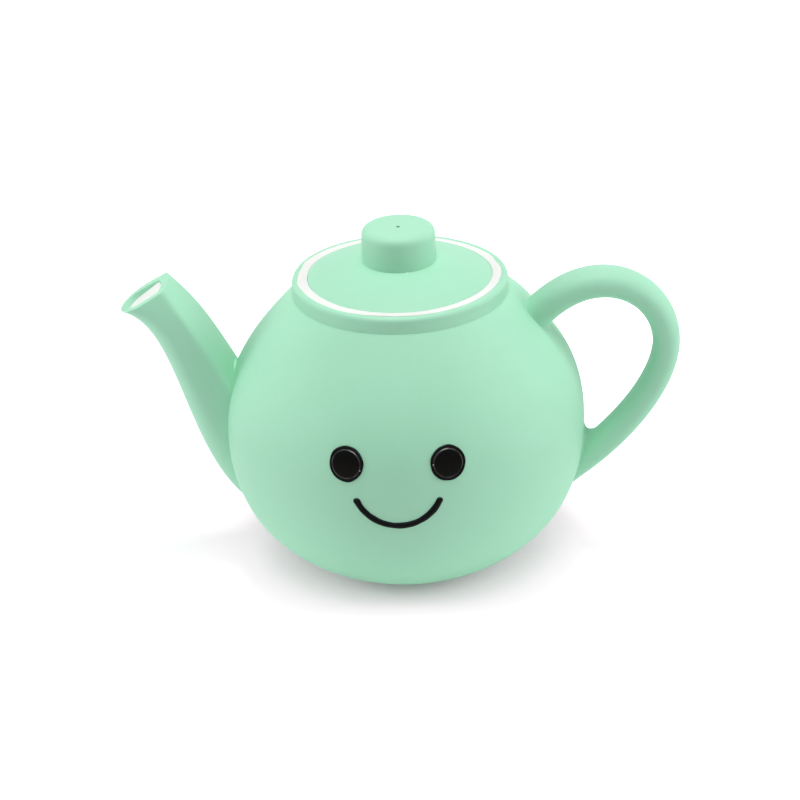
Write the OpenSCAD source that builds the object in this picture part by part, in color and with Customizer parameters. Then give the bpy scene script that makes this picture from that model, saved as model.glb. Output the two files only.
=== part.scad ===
// Toy teapot of soft moulded rubber: a round pot with a closed spout, a loop handle
// and a smiling face, and a lid that lifts out of the neck.
// Z is up, the pot stands on Z = 0 with its axis at the origin, the spout points to -X,
// the handle to +X and the face to -Y. All lengths are in millimetres.

/* [Pot] */
// Widest diameter of the pot
body_d = 98.8; // [92:0.2:110]
// Height of the widest place above the table
belly_z = 42; // [38:0.5:46]
// Height of the shoulder, where the collar stands
neck_z = 79.6; // [76:0.2:88]
// Diameter of the flat that the pot stands on
foot_d = 40; // [32:1:48]
// Slope of the wall where it leaves the foot, in degrees
foot_angle = 21; // [14:1:30]
// Slope of the shoulder under the collar, in degrees
shoulder_angle = 47.5; // [40:0.5:55]
// Length over which the foot's slope holds
foot_pull = 17.2; // [10:0.2:22]
// Length over which the wall stays upright below the widest place
belly_pull_low = 26; // [20:0.5:30]
// Length over which the wall stays upright above the widest place
belly_pull_high = 15.7; // [10:0.1:20]
// Length over which the shoulder's slope holds
shoulder_pull = 19.2; // [12:0.2:24]
// Wall of the pot
wall = 3; // [2.4:0.1:4]

/* [Neck] */
// Outside diameter of the collar
collar_d = 58.6; // [56:0.2:62]
// Height of the collar above the shoulder
collar_h = 4.4; // [4:0.1:6]
// Rounding of the collar's outer edge
collar_round = 1.1; // [0.6:0.1:1.4]
// Wall of the collar outside the white ring
lip_w = 1.9; // [1.5:0.1:2.6]
// Width of the white ring
ring_w = 2.1; // [1.6:0.1:3]
// How far the white ring lies below the collar's rim
ring_drop = 0.1; // [0:0.05:0.5]
// Depth of the lid's seat below the collar's rim
seat_drop = 2.2; // [1.8:0.1:2.8]
// Width of the seat inside the white ring
seat_w = 4; // [3:0.1:6]

/* [Lid] */
// Gap round the lid's edge and round its skirt
lid_gap = 0.3; // [0.2:0.05:0.5]
// How far the lid's edge stands above the white ring
edge_up = 0.2; // [0:0.1:0.6]
// Rounding of the lid's edge
edge_round = 0.6; // [0.3:0.1:1]
// Rise of the dome from the edge to the knob
dome_rise = 4.6; // [3.5:0.1:7]
// Wall of the lid
lid_wall = 2.5; // [2:0.1:3.2]
// Depth of the skirt below the seat
skirt_h = 7; // [4:0.5:10]
// Wall of the skirt
skirt_wall = 2; // [1.5:0.1:2.5]

/* [Knob] */
// Diameter of the knob
knob_d = 20; // [16:0.5:26]
// Height of the knob above the dome
knob_h = 9.3; // [7:0.1:12]
// Rounding of the knob's top edge
knob_round = 1.8; // [1:0.1:3]
// Diameter of the stem that holds the knob in the lid
stem_d = 8; // [6:0.5:10]
// Diameter of the flange that locks the stem under the lid
flange_d = 12; // [11:0.5:14]
// Thickness of the locking flange
flange_t = 1.5; // [1:0.1:2]
// Diameter of the air hole in the knob's top
vent_d = 0.8; // [0.6:0.1:1.2]
// Diameter of the air passage below the hole
passage_d = 2.4; // [1.6:0.1:3.2]
// Depth of the narrow hole before the passage widens
vent_depth = 3; // [2:0.5:5]

/* [Spout] */
// How far the lip stands out past the widest place of the pot
spout_reach = 27; // [20:0.5:36]
// How far the lip lies below the shoulder
lip_drop = 4; // [0:0.1:10]
// Length of the mouth from lip to heel
mouth_l = 15.3; // [13:0.1:20]
// Slope of the mouth, in degrees
mouth_angle = 31.3; // [20:0.1:45]
// Width of the mouth
mouth_w = 15.7; // [12:0.1:18]
// Width that shapes the spout's waist
waist_w = 24.8; // [18:0.1:30]
// Width of the root
root_w = 22.8; // [20:0.1:30]
// How far the two ridges along the top stand out, as a share of the section
ridge = 0.09; // [0:0.01:0.1]
// How far the lower edge of the root lies below the widest place
root_below = 25.7; // [20:0.1:30]
// How far the upper edge of the root lies above the widest place
root_above = 13.6; // [10:0.1:18]
// How far the lower edge starts outside the wall
low_out = 0.9; // [0:0.1:3]
// How far the upper edge starts inside the wall
top_in = 1.4; // [0.5:0.1:5]
// Length over which the lower edge keeps its slope at the root
low_pull = 23.8; // [16:0.1:30]
// Slope of the lower edge at the root, in degrees
low_angle = 40.4; // [30:0.1:50]
// Length over which the lower edge keeps its slope at the lip
lip_pull = 15.9; // [8:0.1:20]
// Slope of the lower edge at the lip, in degrees
lip_angle = 11; // [0:0.1:20]
// Length over which the upper edge keeps its slope at the root
top_pull = 20; // [10:0.1:26]
// Slope of the upper edge at the root, in degrees
top_angle = 63.1; // [50:0.1:75]
// Length over which the upper edge keeps its slope at the heel
heel_pull = 10; // [6:0.1:16]
// Slope of the upper edge at the heel, in degrees
heel_angle = 54.7; // [40:0.1:65]
// Wall of the hollow spout
spout_wall = 2.4; // [1.8:0.1:3]
// Wall of the spout at its mouth
mouth_wall = 1.6; // [1.2:0.1:2]
// Diameter of the tenon that seats the spout in the pot
tenon_d = 16; // [12:0.5:18]
// How far the tenon lies below the widest place of the pot
tenon_drop = 4; // [2:0.5:6]
// Depth of the white floor below the mouth
floor_depth = 1.9; // [1:0.1:3]
// Thickness of the white floor
floor_t = 2.5; // [1.5:0.1:4]

/* [Handle] */
// How far the middle of the grip stands out past the widest place of the pot
grip_out = 22.4; // [18:0.1:30]
// How far the outermost place of the grip lies below the shoulder
grip_drop = 16.3; // [12:0.1:22]
// How far the upper root lies below the shoulder
upper_drop = 12.9; // [10:0.1:16]
// How far the upper root starts inside the wall
upper_in = 8.3; // [7:0.1:11]
// Length over which the grip keeps its slope at the upper root
upper_pull = 31; // [22:0.1:34]
// Slope of the grip at the upper root, in degrees
upper_angle = 54.3; // [48:0.1:64]
// How far the lower root lies below the widest place of the pot
lower_drop = 15.2; // [12:0.1:18]
// How far the lower root starts inside the wall
lower_in = 0; // [0:0.1:2]
// Length over which the grip keeps its slope at the lower root
lower_pull = 21.5; // [12:0.1:22]
// Slope of the grip at the lower root, in degrees
lower_angle = 39.8; // [25:0.1:45]
// Length over which the grip stays upright above its outermost place
bow_pull_high = 16.7; // [14:0.1:24]
// Length over which the grip stays upright below its outermost place
bow_pull_low = 8.3; // [6:0.1:14]
// Thickness at the upper root
upper_t = 9.1; // [8:0.1:12]
// Thickness that shapes the middle of the grip
middle_t = 6.6; // [4:0.1:8]
// Thickness at the lower root
lower_t = 8; // [7:0.1:11]
// Width of the grip for each millimetre of thickness
grip_oval = 1.4; // [1:0.05:1.6]
// Diameter of the pegs that seat the handle in the pot
peg_d = 6; // [4:0.5:7]

/* [Face] */
// Diameter of an eye
eye_d = 9.4; // [7:0.1:12]
// Distance between the middles of the eyes
eye_spacing = 26.8; // [20:0.2:34]
// Height of the eyes above the widest place of the pot
eye_up = 8.5; // [6:0.1:11]
// Depth of an eye's pocket
eye_depth = 1.2; // [0.8:0.1:1.6]
// How far an eye stands out of the wall
eye_proud = 0.35; // [0.2:0.05:0.6]
// Width of the smile from end to end
smile_w = 21.8; // [16:0.2:26]
// Drop of the smile from its ends to its middle
smile_h = 7.1; // [5:0.1:9]
// How far the ends of the smile lie below the widest place of the pot
smile_drop = 1.8; // [0:0.1:3]
// Thickness of the smile's line
smile_t = 1.5; // [1:0.1:2]
// How far the middle of the line lies below the wall's surface
smile_sink = 0.35; // [0.2:0.05:0.5]

/* [Fits] */
// Gap between bonded pieces
bond_gap = 0.05; // [0.02:0.01:0.1]
// How far a tenon or a peg reaches out of the wall into its own piece
plug_reach = 2; // [1.5:0.1:2.5]

/* [Hidden] */
$fn = 72;

MINT = [0.66, 0.89, 0.77];
WHITE = [0.97, 0.97, 0.95];
BLACK = [0.08, 0.07, 0.06];

// Steps of each drawn curve, and points round each drawn section
wall_steps = 16;
arc_steps = 6;
spout_steps = 20;
spout_sides = 32;
grip_steps = 22;
grip_sides = 20;
smile_steps = 20;
smile_sides = 10;
cap_steps = 3;
// A domed end stops at this share of its radius
cap_tip = 0.1;

body_r = body_d / 2;
foot_r = foot_d / 2;
collar_r = collar_d / 2;
ring_out_r = collar_r - lip_w;
ring_in_r = ring_out_r - ring_w;
throat_r = ring_in_r - seat_w;
lid_r = ring_in_r - lid_gap;
skirt_r = throat_r - lid_gap;
rim_z = neck_z + collar_h;
ring_z = rim_z - ring_drop;
seat_z = rim_z - seat_drop;
edge_z = ring_z + edge_up;
knob_r = knob_d / 2;
knob_z = edge_z + dome_rise;
knob_top_z = knob_z + knob_h;

// How far a cut reaches past the face that it opens
past = 2;

function polar(length, angle) = length * [cos(angle), sin(angle)];
function bezier(p, t) =
    (1 - t)^3 * p[0] + 3 * (1 - t)^2 * t * p[1] + 3 * (1 - t) * t^2 * p[2] + t^3 * p[3];
function bezier_way(p, t) =
    (1 - t)^2 * (p[1] - p[0]) + 2 * (1 - t) * t * (p[2] - p[1]) + t^2 * (p[3] - p[2]);
function unit(v) = v / norm(v);
function arc(c, r, a0, a1) = [for (i = [0 : arc_steps]) c + polar(r, a0 + (a1 - a0) * i / arc_steps)];

// The pot's outline, as radius and height
low_wall = [
    [foot_r, 0],
    [foot_r, 0] + polar(foot_pull, foot_angle),
    [body_r, belly_z - belly_pull_low],
    [body_r, belly_z]
];
high_wall = [
    [body_r, belly_z],
    [body_r, belly_z + belly_pull_high],
    [collar_r, neck_z] + polar(shoulder_pull, -shoulder_angle),
    [collar_r, neck_z]
];
function wall_curve(z) = z < belly_z ? low_wall : high_wall;
function height_t(p, z, a = 0, b = 1, n = 30) =
    let (m = (a + b) / 2)
    n == 0 ? m : bezier(p, m).y < z ? height_t(p, z, m, b, n - 1) : height_t(p, z, a, m, n - 1);
function pot_r(z) = bezier(wall_curve(z), height_t(wall_curve(z), z)).x;
function pot_way(z) = unit(bezier_way(wall_curve(z), height_t(wall_curve(z), z)));
function pot_out(z) = [pot_way(z).y, -pot_way(z).x];
function pot_tilt(z) = atan2(pot_out(z).y, pot_out(z).x);

// The outline moved outwards by a distance, or inwards where it is negative
function moved_out(p, t, gap) = bezier(p, t) + gap * [unit(bezier_way(p, t)).y, -unit(bezier_way(p, t)).x];
function pot_outline(gap) = concat(
    [for (i = [0 : wall_steps]) moved_out(low_wall, i / wall_steps, gap)],
    [for (i = [1 : wall_steps]) moved_out(high_wall, i / wall_steps, gap)]);
function reversed(list) = [for (i = [len(list) - 1 : -1 : 0]) list[i]];

// The spout's lower and upper edges, as X and Z
lip = [-(body_r + spout_reach), neck_z - lip_drop];
heel = lip + polar(mouth_l, mouth_angle);
root_low = [-(pot_r(belly_z - root_below) + low_out), belly_z - root_below];
root_top = [-(pot_r(belly_z + root_above) - top_in), belly_z + root_above];
spout_low = [
    root_low,
    root_low + polar(low_pull, 180 - low_angle),
    lip + polar(lip_pull, -lip_angle),
    lip
];
spout_top = [
    root_top,
    root_top + polar(top_pull, 180 - top_angle),
    heel + polar(heel_pull, -heel_angle),
    heel
];
mouth_way = polar(1, mouth_angle + 90);
mouth_middle = (lip + heel) / 2;
function spout_middle(t) = (bezier(spout_low, t) + bezier(spout_top, t)) / 2;
function spout_half(t) = (bezier(spout_top, t) - bezier(spout_low, t)) / 2;
function spout_half_w(t) = ((1 - t)^2 * root_w + 2 * (1 - t) * t * waist_w + t^2 * mouth_w) / 2;
// Where along the spout a section's middle lies this deep below the mouth
function mouth_depth(t) = (mouth_middle - spout_middle(t)) * mouth_way;
function depth_t(depth, a = 0.5, b = 1, n = 30) =
    let (m = (a + b) / 2)
    n == 0 ? m : mouth_depth(m) > depth ? depth_t(depth, m, b, n - 1) : depth_t(depth, a, m, n - 1);
// The hollow starts here, above the solid root, and its wall thins towards the mouth
hollow_t = 0.35;
function inset(t) = spout_wall + (mouth_wall - spout_wall) * (t - hollow_t) / (1 - hollow_t);

// The handle's middle line, as X and Z, in two curves that meet at the outermost place
upper_z = neck_z - upper_drop;
lower_z = belly_z - lower_drop;
upper_root = [pot_r(upper_z) - upper_in, upper_z];
lower_root = [pot_r(lower_z) - lower_in, lower_z];
grip_far = [body_r + grip_out, neck_z - grip_drop];
high_grip = [
    upper_root,
    upper_root + polar(upper_pull, upper_angle),
    grip_far + [0, bow_pull_high],
    grip_far
];
low_grip = [
    grip_far,
    grip_far - [0, bow_pull_low],
    lower_root + polar(lower_pull, lower_angle),
    lower_root
];
// Along the whole grip, from 0 at the upper root to 2 at the lower one
function grip_at(s) = s < 1 ? bezier(high_grip, s) : bezier(low_grip, s - 1);
function grip_way(s) = unit(s < 1 ? bezier_way(high_grip, s) : bezier_way(low_grip, s - 1));
function grip_t(s) = (1 - s / 2)^2 * upper_t + 2 * (1 - s / 2) * (s / 2) * middle_t + (s / 2)^2 * lower_t;
// Where the grip's middle line comes out of the wall, between an inner and an outer place
function outside_pot(p) = p.x > pot_r(p.y);
function wall_s(a, b, n = 30) =
    let (m = (a + b) / 2)
    n == 0 ? m : outside_pot(grip_at(m)) ? wall_s(a, m, n - 1) : wall_s(m, b, n - 1);
upper_peg_z = grip_at(wall_s(0, 0.6)).y;
lower_peg_z = grip_at(wall_s(2, 1.5)).y;

// The lid's dome is part of a sphere through its edge and the knob's foot
dome_edge_r = lid_r - edge_round;
dome_r = norm([knob_r, (dome_rise + (dome_edge_r^2 - knob_r^2) / dome_rise) / 2]);
dome_middle_z = knob_z - sqrt(dome_r^2 - knob_r^2);
function dome_point(r0, r1, share, lower) =
    let (r = r0 + (r1 - r0) * share)
    [r, dome_middle_z + sqrt(dome_r^2 - r^2) + lower];

// The smile is an arc with this radius, seen from the front
smile_r = ((smile_w / 2)^2 + smile_h^2) / (2 * smile_h);
smile_half_angle = asin(smile_w / 2 / smile_r);
cap_angle = asin(smile_t / 2 / smile_r);
smile_z = belly_z - smile_drop - smile_h;
function on_front(x, z) = [x, -sqrt(pot_r(z)^2 - x^2), z];
function smile_at(a) = on_front(smile_r * sin(a), smile_z + smile_r * (1 - cos(a)));
function front_out(p) =
    let (out = pot_out(p.z), level = out.x / pot_r(p.z))
    [level * p.x, level * p.y, out.y];

// A closed solid through sections that have equal numbers of points
module skin(rings) {
    n = len(rings[0]);
    last = len(rings) - 1;
    points = [for (ring = rings) each ring];
    sides = [
        for (i = [0 : last - 1], j = [0 : n - 1])
            let (a = i * n + j, b = i * n + (j + 1) % n)
            each [[a, b + n, b], [a, a + n, b + n]]
    ];
    first_cap = [for (j = [0 : n - 1]) j];
    last_cap = [for (j = [n - 1 : -1 : 0]) last * n + j];
    polyhedron(points, concat([first_cap], sides, [last_cap]));
}

// An oval section in space: middle, half vector in the X-Z plane, half width along Y
function oval(c, h, half_w, sides) = [
    for (j = [0 : sides - 1])
        let (w = 360 * j / sides)
        [c.x + h.x * cos(w), half_w * sin(w), c.y + h.y * cos(w)]
];
// The same, with a flatter top between two ridges, which lie at 45 degrees on either side
function shield(c, h, half_w, sides) = [
    for (j = [0 : sides - 1])
        let (
            w = 360 * j / sides,
            off = min(abs(w - 45), abs(w - 315)) / 12,
            k = cos(w) <= 0 ? 1
                : (abs(cos(w))^3 + abs(sin(w))^3)^(-1 / 3) * (1 + ridge * exp(-off^2)))
        [c.x + h.x * k * cos(w), half_w * k * sin(w), c.y + h.y * k * cos(w)]
];
function spout_section(t, thin, shift = [0, 0]) =
    let (h = spout_half(t))
    shield(spout_middle(t) + shift, h - thin * unit(h), spout_half_w(t) - thin, spout_sides);
function grip_section(s, shift = [0, 0]) =
    let (way = grip_way(s))
    oval(grip_at(s) + shift, grip_t(s) / 2 * [way.y, -way.x], grip_t(s) / 2 * grip_oval, grip_sides);
function smile_section(a, r) =
    let (
        p = smile_at(a),
        out = front_out(p),
        way = unit(smile_at(a + 0.5) - smile_at(a - 0.5)),
        side = cross(way, out)
    )
    [for (j = [0 : smile_sides - 1])
        let (w = 360 * j / smile_sides)
        p - smile_sink * out + r * (cos(w) * out + sin(w) * side)];

// Places what is drawn at the origin on the pot's wall, with its Z axis square to the wall
module on_wall(turn, z) {
    rotate([0, 0, turn])
        translate([pot_r(z), 0, z])
        rotate([0, 90 - pot_tilt(z), 0])
        children();
}

// The space inside the pot's outer surface, grown by a gap
module pot_space(gap) {
    rotate_extrude()
        polygon(concat([[0, -gap]], pot_outline(gap), [[0, neck_z + gap]]));
}

// A round plug through the wall, from inside the piece that it carries to a depth in the wall
module wall_plug(turn, z, d, depth) {
    on_wall(turn, z)
        translate([0, 0, -depth])
        cylinder(d = d, h = depth + plug_reach);
}

// The spout's tenon and the handle's two pegs
module tenon(d, depth) {
    wall_plug(180, belly_z - tenon_drop, d, depth);
}
module pegs(d, depth) {
    for (z = [upper_peg_z, lower_peg_z])
        wall_plug(0, z, d, depth);
}

module at_eye(side) {
    eye_z = belly_z + eye_up;
    on_wall(-90 + side * asin(eye_spacing / 2 / pot_r(eye_z)), eye_z)
        children();
}

// The smile's round bar, with ends that close to a dome
module smile_bar(r) {
    function end_section(w, side) =
        smile_section(side * (smile_half_angle + cap_angle * cos(w)), r * max(sin(w), cap_tip));
    caps = [for (i = [0 : cap_steps]) 90 * i / cap_steps];
    skin(concat(
        [for (w = caps) end_section(w, -1)],
        [for (i = [1 : smile_steps - 1]) smile_section(smile_half_angle * (2 * i / smile_steps - 1), r)],
        [for (w = reversed(caps)) end_section(w, 1)]));
}

// The hollow pot: flat foot, round belly, and a flat shoulder inside for the collar
module pot_shell() {
    color(MINT)
    difference() {
        rotate_extrude()
            polygon(concat(
                [[0, 0]],
                pot_outline(0),
                [[throat_r, neck_z], [throat_r, neck_z - wall]],
                reversed(pot_outline(-wall)),
                [[0, wall]]));
        tenon(tenon_d + 2 * bond_gap, wall + past);
        pegs(peg_d + 2 * bond_gap, wall + past);
        for (side = [-1, 1])
            at_eye(side)
                translate([0, 0, -eye_depth])
                cylinder(d = eye_d + 2 * bond_gap, h = eye_depth + past);
        smile_bar(smile_t / 2 + bond_gap);
    }
}

// The collar stands on the shoulder and holds the white ring and the lid's seat
module neck_collar() {
    color(MINT)
    rotate_extrude()
        polygon(concat(
            [[throat_r, neck_z], [collar_r, neck_z]],
            arc([collar_r - collar_round, rim_z - collar_round], collar_round, 0, 90),
            [[ring_out_r, rim_z], [ring_out_r, seat_z], [throat_r, seat_z]]));
}

// The white ring lies on the seat between the collar's rim and the lid
module seal_ring() {
    color(WHITE)
    rotate_extrude()
        polygon([
            [ring_in_r, seat_z],
            [ring_out_r - bond_gap, seat_z],
            [ring_out_r - bond_gap, ring_z],
            [ring_in_r, ring_z]
        ]);
}

// The spout's skin is cut to the pot's wall; its hollow is blind and ends at the mouth
module spout() {
    color(MINT)
    difference() {
        union() {
            difference() {
                skin(concat(
                    [spout_section(0, 0, [top_in + wall, 0])],
                    [for (i = [0 : spout_steps]) spout_section(i / spout_steps, 0)]));
                pot_space(bond_gap);
            }
            tenon(tenon_d, wall);
        }
        skin(concat(
            [for (i = [0 : spout_steps])
                let (t = hollow_t + (1 - hollow_t) * i / spout_steps)
                spout_section(t, inset(t))],
            [spout_section(1, mouth_wall, past * mouth_way)]));
    }
}

// The white floor closes the spout's hollow a little below the mouth
module spout_plug() {
    t0 = depth_t(floor_depth + floor_t);
    t1 = depth_t(floor_depth);
    color(WHITE)
        skin([for (i = [0 : arc_steps])
            let (t = t0 + (t1 - t0) * i / arc_steps)
            spout_section(t, inset(t) + bond_gap)]);
}

// The loop handle is cut to the pot's wall and seats on a peg at each end
module handle() {
    reach = upper_in + wall;
    color(MINT)
    union() {
        difference() {
            skin(concat(
                [grip_section(0, -reach * grip_way(0))],
                [for (i = [0 : grip_steps]) grip_section(2 * i / grip_steps)],
                [grip_section(2, reach * grip_way(2))]));
            pot_space(bond_gap);
        }
        pegs(peg_d, wall);
    }
}

// A flat round button with a rounded edge, seated in its pocket
module eye(side) {
    eye_r = eye_d / 2;
    color(BLACK)
    at_eye(side)
        rotate_extrude()
            polygon(concat(
                [[0, -eye_depth], [eye_r, -eye_depth]],
                arc([eye_r - eye_proud, 0], eye_proud, 0, 90),
                [[0, eye_proud]]));
}

module left_eye() {
    eye(-1);
}

module right_eye() {
    eye(1);
}

// The smile lies in a groove in the wall
module smile() {
    color(BLACK)
        smile_bar(smile_t / 2);
}

// The domed lid rests on the seat, and its skirt reaches down through the throat
module lid_dome() {
    skirt_in_r = skirt_r - skirt_wall;
    color(MINT)
    rotate_extrude()
        polygon(concat(
            [[skirt_in_r, seat_z - skirt_h], [skirt_r, seat_z - skirt_h], [skirt_r, seat_z], [lid_r, seat_z]],
            arc([lid_r - edge_round, edge_z - edge_round], edge_round, 0, 90),
            [for (i = [1 : wall_steps]) dome_point(lid_r - edge_round, knob_r, i / wall_steps, 0)],
            [[stem_d / 2 + bond_gap, knob_z], [stem_d / 2 + bond_gap, knob_z - lid_wall]],
            [for (i = [0 : wall_steps]) dome_point(knob_r, skirt_in_r, i / wall_steps, -lid_wall)]));
}

// The knob stands on the dome; its stem goes through the lid and locks below it
module lid_knob() {
    flange_z = knob_z - lid_wall;
    color(MINT)
    rotate_extrude()
        polygon(concat(
            [[passage_d / 2, flange_z - flange_t], [flange_d / 2, flange_z - flange_t]],
            [[flange_d / 2, flange_z], [stem_d / 2, flange_z]],
            [[stem_d / 2, knob_z], [knob_r, knob_z]],
            arc([knob_r - knob_round, knob_top_z - knob_round], knob_round, 0, 90),
            [[vent_d / 2, knob_top_z], [vent_d / 2, knob_top_z - vent_depth]],
            [[passage_d / 2, knob_top_z - vent_depth]]));
}

pot_shell();
neck_collar();
seal_ring();
spout();
spout_plug();
handle();
left_eye();
right_eye();
smile();
lid_dome();
lid_knob();
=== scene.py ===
"""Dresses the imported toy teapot: matte mint rubber, a white ring and spout floor, and a black painted face.

Sizes are in millimetres and become metres when a mesh is made. Z is up, the pot's axis is at the origin, the
spout points to -X, the handle to +X and the face to -Y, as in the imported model. Angles round a piece are in
radians, and those named as angles of a curve are in degrees.
"""
from __future__ import annotations

import logging
from dataclasses import dataclass, field
from enum import Enum
from typing import Callable, Sequence, Union

import bmesh
import bpy
import numpy as np
from mathutils import Matrix, Vector


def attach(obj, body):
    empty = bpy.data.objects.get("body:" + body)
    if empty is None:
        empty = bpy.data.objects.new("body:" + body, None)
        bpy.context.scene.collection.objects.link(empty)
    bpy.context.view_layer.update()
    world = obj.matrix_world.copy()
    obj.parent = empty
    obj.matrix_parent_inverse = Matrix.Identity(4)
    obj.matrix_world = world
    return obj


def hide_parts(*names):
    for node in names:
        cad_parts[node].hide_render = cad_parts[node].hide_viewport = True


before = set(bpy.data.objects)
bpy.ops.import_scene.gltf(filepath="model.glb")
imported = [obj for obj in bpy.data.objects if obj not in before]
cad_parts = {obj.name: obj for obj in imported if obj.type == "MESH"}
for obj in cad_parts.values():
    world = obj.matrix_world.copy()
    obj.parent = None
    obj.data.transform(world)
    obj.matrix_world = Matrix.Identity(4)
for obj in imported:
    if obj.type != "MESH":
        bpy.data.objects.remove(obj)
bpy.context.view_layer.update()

log = logging.getLogger("teapot")

Array = np.ndarray
Colour = tuple[float, float, float]
Point = tuple[float, float, float]
Band = tuple[float, float]
Wave = tuple[float, float, float]
Surface = Callable[[Array, Array], Array]

MM = 0.001
TURN = 2 * np.pi
WHITE: Colour = (1.0, 1.0, 1.0)
UP = np.array([0.0, 0.0, 1.0])
MERGE_METRES = 1e-7
SAME_PLACE = 1e-6
SMALL_STEP = 1e-3
HALVINGS = 44
NOISE_MIDDLE = 0.5


class Body(Enum):
    """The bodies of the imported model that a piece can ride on."""

    POT = "pot"
    LID = "lid"


class Slot(Enum):
    """The record's material slots."""

    MINT = "mint_rubber"
    WHITE = "white_rubber"
    BLACK = "black_gloss"


# Curves and grids.


def polar(length: float, degrees: float) -> Array:
    """A vector of a length at an angle from the first axis."""
    return length * np.array([np.cos(np.radians(degrees)), np.sin(np.radians(degrees))])


def unit(vectors: Array) -> Array:
    """Vectors at length one."""
    return vectors / np.linalg.norm(vectors, axis=-1, keepdims=True)


def blend(first: Array | float, middle: Array | float, last: Array | float, t: Array) -> Array:
    """The quadratic blend (1-t)^2 first + 2 (1-t) t middle + t^2 last."""
    return (1 - t) ** 2 * first + 2 * (1 - t) * t * middle + t**2 * last


def bezier(points: Sequence[Array], t: Array) -> Array:
    """Places on a cubic curve: its four points weighted (1-t)^3, 3(1-t)^2 t, 3(1-t) t^2 and t^3.

    Args:
        points: The curve's four points.
        t: Shares along the curve; beyond 0 and 1 the same cubic carries on.

    Returns:
        The places, with one more axis than t.
    """
    t = np.asarray(t, float)[..., None]
    u = 1 - t
    return u**3 * points[0] + 3 * u**2 * t * points[1] + 3 * u * t**2 * points[2] + t**3 * points[3]


def bezier_way(points: Sequence[Array], t: Array) -> Array:
    """Unit directions along a cubic curve: the quadratic blend of the differences of its points."""
    t = np.asarray(t, float)[..., None]
    return unit(blend(points[1] - points[0], points[2] - points[1], points[3] - points[2], t))


def ramp(count: int, start: float = 0.0, end: float = 1.0) -> Array:
    """Evenly spaced numbers from start to end."""
    return np.linspace(start, end, count)


def eased(count: int) -> Array:
    """Shares from 0 to 1 that crowd at both ends: half of one minus the cosine."""
    return (1 - np.cos(np.pi * ramp(count))) / 2


def around(count: int) -> Array:
    """Angles round a full turn, without the last one that meets the first."""
    return np.linspace(0, TURN, count, endpoint=False)


def hump(place: Array, middle: float, width: float) -> Array:
    """A smooth hump on a line: exp(-((place - middle) / width)^2)."""
    return np.exp(-(((place - middle) / width) ** 2))


def wobble(angle: Array, waves: Sequence[Wave]) -> Array:
    """An uneven edge: the sum of sines, each with its own height, number of waves in a turn and start."""
    return sum(height * np.sin(count * angle + start) for height, count, start in waves)


def softened(corners: Sequence[tuple[float, float, float]], closed: bool, bend: int = 7, run: int = 7) -> Array:
    """A profile through corners that are each replaced by a smooth bend.

    A bend is the quadratic blend of a, p and b, where p is the corner and a and b lie its cut before and after
    it. The straight run to the next bend has points that crowd at both ends.

    Args:
        corners: Radius, height and cut of each corner.
        closed: Whether the profile closes on itself.
        bend: Points in each bend.
        run: Points in each straight run.

    Returns:
        The profile's radii and heights, one row a point.
    """
    data = np.array(corners, float)
    points, cuts = data[:, :2], data[:, 2:]
    to_next = unit(np.roll(points, -1, 0) - points)
    to_last = unit(np.roll(points, 1, 0) - points)
    if not closed:
        to_next[-1], to_last[0] = -to_last[-1], -to_next[0]
        cuts[[0, -1]] = 0
    before, after = points + cuts * to_last, points + cuts * to_next
    bends = blend(before[:, None], points[:, None], after[:, None], ramp(bend)[None, :, None])
    s = eased(run + 2)[None, 1:-1, None]
    runs = (1 - s) * after[:, None] + s * np.roll(before, -1, 0)[:, None]
    whole = np.concatenate([bends, runs], axis=1)
    flat = whole.reshape(-1, 2) if closed else np.vstack([whole[:-1].reshape(-1, 2), bends[-1]])
    keep = np.linalg.norm(flat - np.roll(flat, 1, 0), axis=1) > SAME_PLACE
    return flat[keep]


def revolved(profile: Array, segments: int) -> Array:
    """A profile of radii and heights turned about Z: (r cos a, r sin a, z) for every angle a.

    Args:
        profile: Rows of radius and height, or the same with one more axis of columns, one an angle.
        segments: Angles in a turn.

    Returns:
        A grid of points, one row for each row of the profile.
    """
    angle = around(segments)
    radius, height = (profile[..., k] if profile.ndim == 3 else profile[:, k, None] for k in (0, 1))
    radius, height, angle = np.broadcast_arrays(radius, height, angle[None, :])
    return np.stack([radius * np.cos(angle), radius * np.sin(angle), height], axis=-1)


@dataclass(frozen=True)
class Bump:
    """A single smooth bump in a turn: its size, and its middle and width as angles."""

    size: float
    middle: float
    width: float

    def at(self, angle: Array) -> Array:
        """Its height at angles: size times exp(-(d / width)^2), with d the angle from its middle."""
        away = (angle - self.middle + np.pi) % TURN - np.pi
        return self.size * hump(away, 0.0, self.width)


@dataclass(frozen=True)
class Flare:
    """A root's fillet round a limb: an even part, a part on the side towards the loop, and one bump."""

    even: float
    towards: float
    bump: Bump = Bump(0.0, 0.0, 1.0)
    sharp: float = 10.0

    def at(self, angle: Array) -> Array:
        """Its size at angles: even, plus towards times ((1 + cos a) / 2)^sharp, plus the bump."""
        return self.even + self.towards * ((1 + np.cos(angle)) / 2) ** self.sharp + self.bump.at(angle)


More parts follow.
